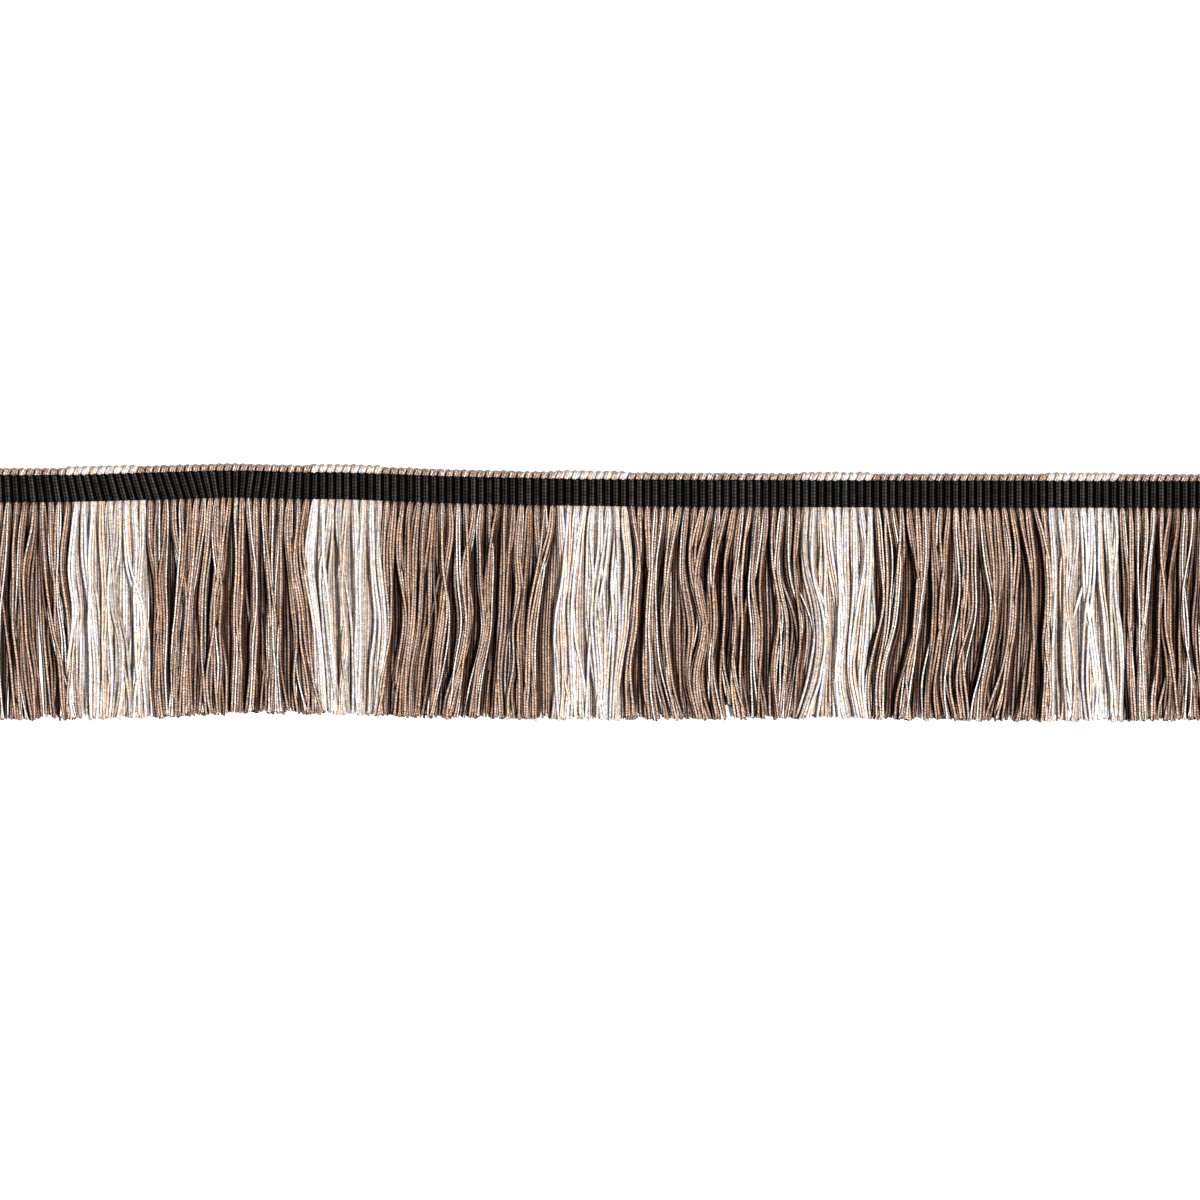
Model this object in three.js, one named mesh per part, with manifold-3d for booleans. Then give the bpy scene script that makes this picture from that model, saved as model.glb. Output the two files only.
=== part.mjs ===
// A cut length of brush fringe trim, lying flat on its back. Millimetres, +Z up.
// A black ribbed heading runs along X. The weft turns over its top edge in a row of small
// loops, and hangs from its lower edge, towards -Y, as cut locks in brown and ivory blocks.
import * as THREE from "three";
import { mergeVertices } from "three/addons/utils/BufferGeometryUtils.js";
import Module from "manifold-3d";

const wasm = await Module();
wasm.setup();

// Driving sizes of the trim.
const TRIM_LENGTH = 300;
const RIB_COUNT = 155;
const RIB_PITCH = TRIM_LENGTH / RIB_COUNT;
const CLEARANCE = 0.3;

// Heading: a warp-faced band whose ribs each hide one bundle of weft.
const HEADING_WIDTH = 6.7;
const RIB_CROWN_HEIGHT = 1.9;
const RIB_GROOVE_HEIGHT = 1.3;
const HEADING_EDGE_ROUND = 0.45;

// Turned weft along the top edge, one slanted lump to a rib. The ivory yarn is fuller.
const LOOP_REACH = { brown: 1.35, ivory: 1.75 };
const LOOP_HEIGHT = { brown: 1.6, ivory: 1.85 };
const LOOP_GROOVE_SHARE = 0.72;
const LOOP_SLANT = 0.6;
const LOOP_SHOULDER = 0.35;

// Cut locks, one to a rib, fused at their roots into a narrow strip.
const STRIP_WIDTH = 1.0;
const STRIP_HEIGHT = 1.6;
const STRIP_RIBS_PER_STEP = 4;
const ROOT_BOTTOM = 0.35;
const ROOT_TOP = 1.25;
const LOCK_GAP = 0.34;
const PARTING_GAP = 0.8;
const PARTING_FROM = 0.55;
const GAP_MOST_SHARE = 0.35;
const LOCK_LEAST_SPACE = 1.05;
const LOCK_HEIGHT = 1.75;
const LOCK_HEIGHT_SPREAD = 0.6;
const LOCK_TIP_HEIGHT = 1.15;
const LOCK_CROWN_INSET = 0.2;
const TIP_SPREAD = 0.9;
const LOCK_STATIONS = [0, 0.1, 0.28, 0.46, 0.64, 0.82, 1];

// Colour blocks along the trim, in ribs.
const FIRST_BROWN_RIBS = 10;
const IVORY_RIBS = 9;
const BROWN_RIBS = 22;

// How the heading lies. Columns: place along X, rise of the top edge, how far the lower end
// of a rib stands to the right of its upper end, and the length of the locks there.
const HEADING_LIE = [
  [-150, 1.5, 0.0, 53.1],
  [-134, 1.5, 1.1, 52.8],
  [-116, 1.9, 2.0, 53.0],
  [-100, 2.4, 1.9, 52.8],
  [-90, 2.6, 0.0, 52.5],
  [-84, 2.5, -1.0, 52.3],
  [-73, 2.2, -0.3, 52.2],
  [-61, 2.1, 0.0, 52.3],
  [-37, 1.2, 0.0, 52.1],
  [0, 0.5, 0.0, 52.0],
  [60, 0.2, 0.0, 51.3],
  [105, 0.1, 0.0, 51.9],
  [150, 0.0, 0.0, 51.5],
];

// How the locks sway sideways, a row for each main fold. Columns: place of the root along X,
// then the shift to the right in the upper, middle and lower part of the lock and at its tip.
const LOCK_SWAY = [
  [-150, 0.0, 0.0, 0.0, 0.0],
  [-143, -1.4, -1.1, -0.6, -0.3],
  [-136, 0.2, 0.7, 2.0, 3.4],
  [-129, -0.5, 1.5, 2.0, 2.4],
  [-120, 0.0, -0.2, 0.0, 0.0],
  [-111, 0.5, 1.0, 1.5, 2.0],
  [-98, -1.2, -2.4, -3.2, -3.4],
  [-90, 0.2, -0.4, -0.4, -0.6],
  [-81, 0.2, 0.5, 0.0, -0.5],
  [-72, -1.0, 0.8, 2.1, 3.2],
  [-61, 0.0, 0.0, 0.0, 0.0],
  [-51, -1.0, 0.0, -1.3, -2.0],
  [-41, -1.2, -1.4, -3.0, -3.6],
  [-30, -0.3, -0.1, -1.9, -3.6],
  [-18, -1.2, -2.3, -3.0, -2.4],
  [-11, -0.3, -1.9, -2.2, -2.7],
  [-2, -0.5, -1.0, 0.0, 0.4],
  [7, 0.9, 0.2, -1.7, -1.7],
  [17, -1.9, -2.2, -1.0, 1.0],
  [25, -1.5, 0.5, -1.6, 0.7],
  [35, -3.0, -3.2, -3.4, -2.0],
  [43, -0.8, 0.7, 0.0, 0.0],
  [50, -0.5, 3.2, 2.4, -0.4],
  [61, 0.4, -0.7, -1.4, 0.3],
  [75, 1.0, 0.5, -2.4, -3.6],
  [87, 0.0, -1.2, -2.4, -0.8],
  [95, 1.2, 0.9, -1.5, -2.4],
  [104, 2.7, 2.3, 1.0, 0.0],
  [112, 0.4, 0.0, 0.6, 0.9],
  [128, 0.7, 1.0, 1.3, 1.8],
  [136, -1.0, -1.4, -2.0, -2.2],
  [144, -0.9, -1.1, 0.0, 0.2],
  [150, 0.0, 0.0, 0.0, 0.0],
];
const SWAY_STATIONS = [0, 0.3, 0.55, 0.8, 1];

// What each row of chance values is for.
const CHANCE_OF = { parting: 1, length: 2, height: 3 };

// A value between 0 and 1 that looks random and is the same each time.
function chance(index, kind) {
  const wave = Math.sin(index * 12.9898 + kind * 78.233) * 43758.5453;
  return wave - Math.floor(wave);
}

// A smooth curve through the points of a table, read at x.
function smoothRead(xs, ys, x) {
  const last = xs.length - 1;
  const place = Math.min(Math.max(x, xs[0]), xs[last]);
  let i = 0;
  while (i < last - 1 && place > xs[i + 1]) i += 1;
  const slope = (k) => {
    const a = Math.max(k - 1, 0);
    const b = Math.min(k + 1, last);
    return (ys[b] - ys[a]) / (xs[b] - xs[a]);
  };
  const span = xs[i + 1] - xs[i];
  const u = (place - xs[i]) / span;
  const rise = u * u * (3 - 2 * u);
  const start = u * (1 - u) * (1 - u) * span * slope(i);
  const end = u * u * (u - 1) * span * slope(i + 1);
  return ys[i] + (ys[i + 1] - ys[i]) * rise + start + end;
}

const columnOf = (table, column) => table.map((row) => row[column]);
const lieAt = (x, column) => smoothRead(columnOf(HEADING_LIE, 0), columnOf(HEADING_LIE, column), x);
const topEdge = (x) => new THREE.Vector2(x, lieAt(x, 1));
const lowerEdge = (x) => new THREE.Vector2(x + lieAt(x, 2), lieAt(x, 1) - HEADING_WIDTH);

// The place along X of the line between rib i - 1 and rib i, before the heading's lean.
const ribLine = (i) => -TRIM_LENGTH / 2 + i * RIB_PITCH;

// A closed geometry through equal rings of points, with a fan over each end.
function loft(rings) {
  const size = rings[0].length;
  const indices = [];
  for (let r = 0; r + 1 < rings.length; r += 1) {
    for (let p = 0; p < size; p += 1) {
      const a = r * size + p;
      const b = r * size + ((p + 1) % size);
      indices.push(a, b, b + size, a, b + size, a + size);
    }
  }
  const lastRing = (rings.length - 1) * size;
  for (let p = 1; p + 1 < size; p += 1) {
    indices.push(0, p + 1, p);
    indices.push(lastRing, lastRing + p, lastRing + p + 1);
  }
  const geometry = new THREE.BufferGeometry().setFromPoints(rings.flat());
  geometry.setIndex(indices);
  return geometry;
}

function solidOf(geometry) {
  const bare = geometry.clone();
  bare.deleteAttribute("normal");
  bare.deleteAttribute("uv");
  const merged = mergeVertices(bare, 1e-4);
  return new wasm.Manifold(
    new wasm.Mesh({
      numProp: 3,
      vertProperties: merged.attributes.position.array,
      triVerts: new Uint32Array(merged.index.array),
    }),
  );
}

function geometryOf(solid) {
  const mesh = solid.getMesh();
  const geometry = new THREE.BufferGeometry();
  geometry.setAttribute("position", new THREE.BufferAttribute(mesh.vertProperties, 3));
  geometry.setIndex(new THREE.BufferAttribute(mesh.triVerts, 1));
  return geometry;
}

// The heading's ribs: a groove and a crown for each rib, on a flat back.
function headingRing(x, height) {
  const upper = topEdge(x);
  const lower = lowerEdge(x);
  const across = lower.clone().sub(upper).normalize().multiplyScalar(HEADING_EDGE_ROUND);
  const innerUpper = upper.clone().add(across);
  const innerLower = lower.clone().sub(across);
  const shoulder = height - HEADING_EDGE_ROUND;
  return [
    new THREE.Vector3(lower.x, lower.y, 0),
    new THREE.Vector3(upper.x, upper.y, 0),
    new THREE.Vector3(upper.x, upper.y, shoulder),
    new THREE.Vector3(innerUpper.x, innerUpper.y, height),
    new THREE.Vector3(innerLower.x, innerLower.y, height),
    new THREE.Vector3(lower.x, lower.y, shoulder),
  ];
}

function headingGeometry() {
  const rings = [headingRing(ribLine(0), RIB_GROOVE_HEIGHT)];
  for (let rib = 0; rib < RIB_COUNT; rib += 1) {
    rings.push(headingRing(ribLine(rib + 0.5), RIB_CROWN_HEIGHT));
    rings.push(headingRing(ribLine(rib + 1), RIB_GROOVE_HEIGHT));
  }
  return loft(rings);
}

// One slanted lump of turned weft to a rib, along the top edge of the heading.
function loopRing(x, colour, share) {
  const edge = topEdge(x);
  const reach = LOOP_REACH[colour] * share;
  const height = LOOP_HEIGHT[colour] * share;
  const innerY = edge.y + CLEARANCE;
  const limit = TRIM_LENGTH / 2;
  const innerX = Math.max(x - LOOP_SLANT / 2, -limit);
  const outerX = Math.min(x + LOOP_SLANT / 2, limit);
  return [
    new THREE.Vector3(innerX, innerY, 0),
    new THREE.Vector3(outerX, innerY + reach - LOOP_SHOULDER, 0),
    new THREE.Vector3(outerX, innerY + reach, height / 2),
    new THREE.Vector3(outerX, innerY + reach - LOOP_SHOULDER, height),
    new THREE.Vector3(innerX, innerY, height),
  ];
}

function loopsGeometry(block) {
  const start = ribLine(block.first) + CLEARANCE / 2;
  const end = ribLine(block.first + block.ribs) - CLEARANCE / 2;
  const rings = [loopRing(start, block.colour, LOOP_GROOVE_SHARE)];
  for (let rib = 0; rib < block.ribs; rib += 1) {
    const line = block.first + rib;
    rings.push(loopRing(ribLine(line + 0.5), block.colour, 1));
    const next = Math.min(ribLine(line + 1), end);
    rings.push(loopRing(next, block.colour, LOOP_GROOVE_SHARE));
  }
  return loft(rings);
}

// The sideways shift of the weft that leaves the heading at x, at the share t of its length.
function swayAt(x, t) {
  const shifts = SWAY_STATIONS.map((station, column) =>
    column === 0 ? 0 : smoothRead(columnOf(LOCK_SWAY, 0), columnOf(LOCK_SWAY, column), x),
  );
  return smoothRead(SWAY_STATIONS, shifts, t);
}

// The lines between neighbouring locks at the share t of their length, never too close.
function lockLines(t) {
  const lines = [];
  for (let i = 0; i <= RIB_COUNT; i += 1) {
    const root = lowerEdge(ribLine(i)).x;
    lines.push(root + swayAt(root, t));
  }
  for (let i = 1; i <= RIB_COUNT; i += 1) {
    lines[i] = Math.max(lines[i], lines[i - 1] + LOCK_LEAST_SPACE);
  }
  lines[RIB_COUNT] = Math.min(lines[RIB_COUNT], TRIM_LENGTH / 2);
  for (let i = RIB_COUNT - 1; i >= 0; i -= 1) {
    lines[i] = Math.min(lines[i], lines[i + 1] - LOCK_LEAST_SPACE);
  }
  return lines;
}

const LINES = LOCK_STATIONS.map(lockLines);

// Half of the gap on line i. It widens down the lock, and more so where locks part.
function halfGap(i, t) {
  const parted = Math.max(0, chance(i, CHANCE_OF.parting) - PARTING_FROM) / (1 - PARTING_FROM);
  return (LOCK_GAP + PARTING_GAP * parted * t) / 2;
}

function lockGeometry(lock) {
  const length = lieAt(ribLine(lock + 0.5), 3) - TIP_SPREAD * chance(lock, CHANCE_OF.length);
  const bodyHeight = LOCK_HEIGHT + LOCK_HEIGHT_SPREAD * (chance(lock, CHANCE_OF.height) - 0.5);
  const rings = LOCK_STATIONS.map((t, station) => {
    const space = LINES[station][lock + 1] - LINES[station][lock];
    const left = LINES[station][lock] + Math.min(halfGap(lock, t), space * GAP_MOST_SHARE);
    const right = LINES[station][lock + 1] - Math.min(halfGap(lock + 1, t), space * GAP_MOST_SHARE);
    const inset = (right - left) * LOCK_CROWN_INSET;
    const rootY = lowerEdge(ribLine(lock + 0.5)).y - CLEARANCE - STRIP_WIDTH / 2;
    const y = rootY - (length - CLEARANCE - STRIP_WIDTH / 2) * t;
    const atRoot = station === 0;
    const atTip = station === LOCK_STATIONS.length - 1;
    const bottom = atRoot ? ROOT_BOTTOM : 0;
    let top = bodyHeight;
    if (atRoot) top = ROOT_TOP;
    if (atTip) top = LOCK_TIP_HEIGHT;
    return [
      new THREE.Vector3(left, y, bottom),
      new THREE.Vector3(right, y, bottom),
      new THREE.Vector3(right - inset, y, top),
      new THREE.Vector3(left + inset, y, top),
    ];
  });
  return loft(rings);
}

// The strip that the roots of a block's locks are fused into, just off the heading.
function stripGeometry(block) {
  const start = ribLine(block.first) + CLEARANCE / 2;
  const end = ribLine(block.first + block.ribs) - CLEARANCE / 2;
  const steps = Math.ceil(block.ribs / STRIP_RIBS_PER_STEP);
  const rings = [];
  for (let step = 0; step <= steps; step += 1) {
    const edge = lowerEdge(start + ((end - start) * step) / steps);
    const near = edge.y - CLEARANCE;
    const far = near - STRIP_WIDTH;
    rings.push([
      new THREE.Vector3(edge.x, far, 0),
      new THREE.Vector3(edge.x, near, 0),
      new THREE.Vector3(edge.x, near, STRIP_HEIGHT),
      new THREE.Vector3(edge.x, far, STRIP_HEIGHT),
    ]);
  }
  return loft(rings);
}

function fringeGeometry(block) {
  const solids = [solidOf(stripGeometry(block))];
  for (let lock = block.first; lock < block.first + block.ribs; lock += 1) {
    solids.push(solidOf(lockGeometry(lock)));
  }
  return geometryOf(wasm.Manifold.union(solids));
}

// The colour blocks: brown and ivory by turns, with a shorter brown block at each cut end.
function colourBlocks() {
  const blocks = [];
  let first = 0;
  let ribs = FIRST_BROWN_RIBS;
  let colour = "brown";
  while (first < RIB_COUNT) {
    const count = Math.min(ribs, RIB_COUNT - first);
    const number = blocks.filter((block) => block.colour === colour).length + 1;
    blocks.push({ colour, number, first, ribs: count });
    first += count;
    colour = colour === "brown" ? "ivory" : "brown";
    ribs = colour === "brown" ? BROWN_RIBS : IVORY_RIBS;
  }
  return blocks;
}

const warpCloth = new THREE.MeshStandardMaterial({ color: "#161517", roughness: 0.6, metalness: 0 });
const weftCloth = {
  brown: new THREE.MeshStandardMaterial({ color: "#9a7c69", roughness: 0.85, metalness: 0 }),
  ivory: new THREE.MeshStandardMaterial({ color: "#efe9e4", roughness: 0.85, metalness: 0 }),
};

function named(name, geometry, material) {
  const mesh = new THREE.Mesh(geometry, material);
  mesh.name = name;
  return mesh;
}

const trim = new THREE.Group();
trim.add(named("heading", headingGeometry(), warpCloth));
for (const block of colourBlocks()) {
  const label = `${block.colour}_${block.number}`;
  trim.add(named(`loops_${label}`, loopsGeometry(block), weftCloth[block.colour]));
  trim.add(named(`fringe_${label}`, fringeGeometry(block), weftCloth[block.colour]));
}

// The origin is the middle of the trim's outline, on the surface that it lies on.
const middle = new THREE.Box3().setFromObject(trim).getCenter(new THREE.Vector3());
trim.position.set(-middle.x, -middle.y, 0);

export default trim;
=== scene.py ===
"""A cut length of brush fringe trim: a black ribbed heading, turned weft loops along its top edge,
and cut two-ply yarn hanging below it in brown and ivory blocks."""
import math

import bpy
import numpy as np
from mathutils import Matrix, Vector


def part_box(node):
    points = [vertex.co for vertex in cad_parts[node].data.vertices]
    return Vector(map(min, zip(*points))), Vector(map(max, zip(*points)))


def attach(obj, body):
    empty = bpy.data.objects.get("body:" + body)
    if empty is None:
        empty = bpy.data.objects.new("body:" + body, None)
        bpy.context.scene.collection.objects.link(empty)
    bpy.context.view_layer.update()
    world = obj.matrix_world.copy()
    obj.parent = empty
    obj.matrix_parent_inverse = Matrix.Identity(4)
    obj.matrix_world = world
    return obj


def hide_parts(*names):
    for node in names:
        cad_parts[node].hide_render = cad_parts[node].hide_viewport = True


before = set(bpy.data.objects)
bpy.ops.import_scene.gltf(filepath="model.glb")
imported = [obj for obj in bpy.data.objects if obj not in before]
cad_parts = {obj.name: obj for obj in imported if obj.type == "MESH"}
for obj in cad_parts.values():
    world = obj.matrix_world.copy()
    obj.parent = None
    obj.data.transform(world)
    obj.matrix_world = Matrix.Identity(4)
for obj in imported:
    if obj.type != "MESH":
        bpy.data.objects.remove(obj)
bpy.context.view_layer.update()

bl_info = {
    "name": "Brush fringe trim",
    "version": (1, 0, 0),
    "blender": (4, 5, 0),
    "location": "View3D > Sidebar > Trim",
    "description": "Makes a cut length of brush fringe trim with a ribbed heading",
    "category": "Add Mesh",
}

MM = 0.001
BODY = "root"

# Sizes that the frame gives.
HEADING_LOW, HEADING_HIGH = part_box("heading")
TRIM_LENGTH = HEADING_HIGH.x - HEADING_LOW.x
CROWN_HEIGHT = HEADING_HIGH.z

# The same counts and widths as in the solids.
RIB_COUNT = 155
RIB_PITCH = TRIM_LENGTH / RIB_COUNT
HEADING_WIDTH = 6.7 * MM
FIRST_BROWN_RIBS = 10
IVORY_RIBS = 9
BROWN_RIBS = 22
LOCK_LEAST_SPACE = 1.05 * MM

# How the heading lies, in millimetres. Columns: place along X, rise of the top edge, how far the
# lower end of a rib stands to the right of its upper end, and the length of the locks there.
HEADING_LIE = np.array([
    [-150, 1.5, 0.0, 53.1],
    [-134, 1.5, 1.1, 52.8],
    [-116, 1.9, 2.0, 53.0],
    [-100, 2.4, 1.9, 52.8],
    [-90, 2.6, 0.0, 52.5],
    [-84, 2.5, -1.0, 52.3],
    [-73, 2.2, -0.3, 52.2],
    [-61, 2.1, 0.0, 52.3],
    [-37, 1.2, 0.0, 52.1],
    [0, 0.5, 0.0, 52.0],
    [60, 0.2, 0.0, 51.3],
    [105, 0.1, 0.0, 51.9],
    [150, 0.0, 0.0, 51.5],
]) * MM
RISE, LEAN, LENGTH = 1, 2, 3

# How the locks sway sideways, in millimetres, a row for each main fold. Columns: place of the root
# along X, then the shift to the right in the upper, middle and lower part of the lock and at its tip.
LOCK_SWAY = np.array([
    [-150, 0.0, 0.0, 0.0, 0.0],
    [-143, -1.4, -1.1, -0.6, -0.3],
    [-136, 0.2, 0.7, 2.0, 3.4],
    [-129, -0.5, 1.5, 2.0, 2.4],
    [-120, 0.0, -0.2, 0.0, 0.0],
    [-111, 0.5, 1.0, 1.5, 2.0],
    [-98, -1.2, -2.4, -3.2, -3.4],
    [-90, 0.2, -0.4, -0.4, -0.6],
    [-81, 0.2, 0.5, 0.0, -0.5],
    [-72, -1.0, 0.8, 2.1, 3.2],
    [-61, 0.0, 0.0, 0.0, 0.0],
    [-51, -1.0, 0.0, -1.3, -2.0],
    [-41, -1.2, -1.4, -3.0, -3.6],
    [-30, -0.3, -0.1, -1.9, -3.6],
    [-18, -1.2, -2.3, -3.0, -2.4],
    [-11, -0.3, -1.9, -2.2, -2.7],
    [-2, -0.5, -1.0, 0.0, 0.4],
    [7, 0.9, 0.2, -1.7, -1.7],
    [17, -1.9, -2.2, -1.0, 1.0],
    [25, -1.5, 0.5, -1.6, 0.7],
    [35, -3.0, -3.2, -3.4, -2.0],
    [43, -0.8, 0.7, 0.0, 0.0],
    [50, -0.5, 3.2, 2.4, -0.4],
    [61, 0.4, -0.7, -1.4, 0.3],
    [75, 1.0, 0.5, -2.4, -3.6],
    [87, 0.0, -1.2, -2.4, -0.8],
    [95, 1.2, 0.9, -1.5, -2.4],
    [104, 2.7, 2.3, 1.0, 0.0],
    [112, 0.4, 0.0, 0.6, 0.9],
    [128, 0.7, 1.0, 1.3, 1.8],
    [136, -1.0, -1.4, -2.0, -2.2],
    [144, -0.9, -1.1, 0.0, 0.2],
    [150, 0.0, 0.0, 0.0, 0.0],
]) * MM
SWAY_STATIONS = np.array([0, 0.3, 0.55, 0.8, 1])

# Heading weave. A rib hides two picks of weft, so it has two humps with a shallow saddle between.
# Every second warp thread floats over a rib, and the others float over the next one.
# Columns of the profile: place across the rib, height share, and the painted highlight on the warp.
RIB_PROFILE = [(0.0, 0.0, 0.0), (0.12, 0.5, 0.0), (0.2, 0.9, 0.6), (0.32, 1.0, 0.6),
               (0.44, 0.64, 0.05), (0.55, 1.0, 0.8), (0.68, 0.94, 1.0), (0.79, 0.5, 0.0)]
FLOATS = 8
ROWS_PER_FLOAT = 4
FLOAT_SHIFT = 0.25
# The painted highlight is dimmer at a float's ends, and differs from rib to rib.
FLOAT_END_LIGHT = 0.45
RIB_LIGHT = (0.75, 1.2)
GROOVE_HEIGHT = 0.85 * MM
GROOVE_PULLED_IN = 0.15 * MM
THREAD_RELIEF = 0.2 * MM
EDGE_DROP = 0.2 * MM
EDGE_ROUND = 0.3 * MM
UNDERSIDE_GROOVE = 0.25 * MM
# The points of a cross-section below the face: share of the way down the heading, and height share.
BELOW_SHARE = np.array([[1.0, 1.0, 0.75, 0.5, 0.25, 0.0, 0.0]])
BELOW_RISE = np.array([[0.45, 0.0, 0.0, 0.0, 0.0, 0.0, 0.45]])

# One bundle of cut yarn. Columns: place across the lock in rib pitches at the root and where the
# lock has opened, height at the root in millimetres, and layer.
BUNDLE = np.array([
    [-0.32, -0.33, 0.30, 0],
    [0.0, 0.0, 0.30, 0],
    [0.32, 0.33, 0.30, 0],
    [-0.2, -0.38, 0.62, 1],
    [-0.07, -0.13, 0.7, 1],
    [0.07, 0.13, 0.7, 1],
    [0.2, 0.38, 0.62, 1],
    [-0.12, -0.3, 1.02, 2],
    [0.0, 0.0, 1.14, 2],
    [0.12, 0.3, 1.02, 2],
])
ROOT_PLACE, OPEN_PLACE, ROOT_HEIGHT, LAYER = 0, 1, 2, 3
# For each layer: how far its yarns follow their lock's clumping and its sway, how thick they are,
# the sides of their tubes, the step between the cross-sections that are used, and the plies at a cut
# end. The lowest layer shows so little that one ply is enough.
LAYER_CLUMPING = np.array([0.05, 0.95, 1.1])
LAYER_SWAY = np.array([0.4, 1.0, 1.0])
LAYER_THICKNESS = np.array([1.05, 1.0, 1.0])
LAYER_SIDES = [4, 6, 6]
LAYER_STEP = [2, 1, 1]
LAYER_PLIES = [1, 2, 2]

# Where the heading holds the yarn. It is squeezed there, and it lifts and opens below.
YARN_STATIONS = 41
HELD_STATIONS = 2
ROOT_SQUEEZE = 0.62
ROOT_OPEN = 0.075
LOCK_OPEN = 1.3 * ROOT_OPEN
ROOT_LIFT = 0.7
ROOT_DEPTH = 0.8 * MM
ROOT_STEPS = 4
ROOT_STEP_LENGTH = 0.65 * MM

# The cut ends. A tip's four cross-sections lie before the end, at it, and ahead of it. The offsets
# of its two plies from the yarn's middle are in yarn radii, and so are the radii of the plies.
LENGTH_SPREAD = 0.32 * MM
SPLIT_LENGTH = 0.9 * MM
SPLIT_UNEVEN = (0.8, 1.2)
TIP_BEFORE = 0.9 * MM
TIP_AHEAD = 0.4
TIP_OFFSETS = (0.35, 0.42, 0.55)
TIP_OPEN = (0.4, 0.75)
TIP_FLATNESS = 0.6
TIP_RADII = np.array([0.55, 0.62, 0.62, 0.6])
TIP_SIDES = 5

# One small notch in the hem: its place along X, half its width, and its depth.
NOTCH_X, NOTCH_HALF, NOTCH_DEPTH = 31.9 * MM, 1.0 * MM, 3.4 * MM

# Turned weft: three wefts of a rib wind slantwise over a rounded bead on the top edge. For each
# colour, the bead's half size out from the edge and up, its middle's place out from the edge, and
# its yarn's radius.
BEAD = {
    "brown": (0.54 * MM, 0.72 * MM, 0.64 * MM, 0.35 * MM),
    "ivory": (0.68 * MM, 0.8 * MM, 0.76 * MM, 0.38 * MM),
}
# How the wefts lie on a bead: their slant and how it varies, how many they are, the share of the rib
# that they take, how much smaller the outer ones wind, the least and the greatest bead, how much
# painted shade they get, and where a winding starts and ends.
BEAD_SLANT = math.radians(30)
SLANT_SPREAD = 0.08
BEAD_WEFTS = 3
BEAD_SHARE = 0.76
BEAD_ROUND = 0.6
BEAD_UNEVEN = (0.92, 1.12)
BEAD_SHADOW = 0.16
BEAD_START = math.radians(-110)
BEAD_END = math.radians(200)
LOOP_STATIONS = 12
LOOP_SIDES = 6

# The wefts of a rib. Their tones spread around 0, and each yarn end strays a little from its weft's.
# An accent weft is slimmer, and gets less painted shade than its place in the pile says.
WEFTS_PER_RIB = 5
TONE_SPREAD = 0.45
OWN_TONE_SPREAD = 0.25
ACCENT_THICKNESS = 0.72
ACCENT_ON_TOP = 0.6
YARN_UNEVEN = 0.07

# How each yarn strays from its lock, in ribs, and the share of yarns that cross to another lock.
YARN_DRIFT = 0.13
FREE_WANDER = 0.4
FANNED = 0.28
FAN_START = 0.6
CROSSING_SHARE = 0.09
CROSSING_REACH = 1.1
CROSSING_START, CROSSING_END = 0.1, 0.9
# A drift is a sum of waves. Columns: how many waves in a lock's length, and their part.
DRIFT_WAVES = ((0.6, 1.0), (1.4, 0.6), (2.8, 0.25))

# How locks lean together in clumps, part and open. Sizes across are in ribs.
CLUMP_LEAST, CLUMP_MOST = 1.5, 3.4
CLUMP_PULL = 0.72
CLUMP_START, CLUMP_END = 0.04, 0.5
CLUMP_DRIFT = 0.3
CLUMP_LIMIT = 1.6
LOCK_DRIFT = 0.2
LOCK_WIDTH = 0.72
WIDTH_DRIFT = 0.16
NARROWEST, WIDEST = 0.4, 1.2

# How the yarn settles. Yarns closer than the spacing, which is in radii, push each other away. The
# push is soft, so where many yarns are packed or cross, they still overlap.
SETTLE_ROUNDS = 90
TARGET_PULL = 0.18
SINK = 0.01 * MM
STIFFNESS = 0.22
YARN_SPACING = 1.94
PUSH_SHARE = 0.55
NEIGHBOURS = 12
HIGHEST = 3.0 * MM

# Two tiny numbers: one keeps a division from failing where yarns meet, and the other keeps a rib's
# first cross-section from being counted to the rib before it.
NO_DISTANCE = 1e-9
ROUNDING = 1e-6

# What each step adds to the seed, so that no two steps draw the same random numbers.
LOOP_SEED, YARN_SEED, CUT_END_SEED, RIB_SEED = 1, 2, 3, 4

# How deep in painted shade a yarn lies: the height below the pile around it, and how far around it is
# read. Less shade is painted at the tips and at the roots, where light reaches in, but a painted
# shadow of the heading darkens the first part of the roots.
DEEP = 1.15 * MM
DEEP_REACH = 1.3 * MM
TIP_LIGHT = 0.45
TIP_START = 0.93
ROOT_LIGHT = 0.8
ROOT_END = 0.1
ROOT_CORNER = 3.0
ROOT_SHADOW = 0.4
ROOT_SHADOW_LENGTH = 0.8 * MM

# Painted shade for each colour: the tint that yarn deep in the brush is darkened towards, how dark a
# yarn's flank is painted, and how dark the groove between its plies is painted. Pale yarn passes light
# on, so less shade is painted on it.
YARN_SHADE = {
    "brown": ((0.14, 0.09, 0.07), 0.06, 0.5),
    "ivory": ((0.68, 0.6, 0.54), 0.78, 0.8),
}
SHADOW_START, SHADOW_FULL = 0.05, 0.75
# The dullest and the brightest yarn of a dye, for each colour channel: duller yarn is warmer.
DULL_YARN = (0.6, 0.53, 0.48)
BRIGHT_YARN = (1.19, 1.25, 1.32)
# An accent weft is as light as the brightest yarn, and keeps its own hue.
ACCENT_LIGHT = (1.25, 1.21, 1.18)
# How a yarn's hue drifts: its two ends, the length of a drift, and how far apart yarns start.
GOLDEN = (1.05, 1.0, 0.88)
GREYISH = (0.93, 0.99, 1.12)
HUE_LENGTH = 9 * MM
HUE_APART = 40.0
# How high on a yarn its flank is painted dark and how high it is painted fully lit, from 0 on its side
# to 1 on its top, and how bright the painted highlight on its upper side and on its plies' crests is.
FLANK_DARK, FLANK_LIT = 0.55, 1.0
UPPER_LIGHT = 1.22
PLY_GROOVE, PLY_CREST = -0.9, 0.6
PLY_LIGHT = 1.1
# The share of the way around a yarn where its upper side is. A cut end is painted lit like it.
TOP_OF_YARN = 0.25

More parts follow.
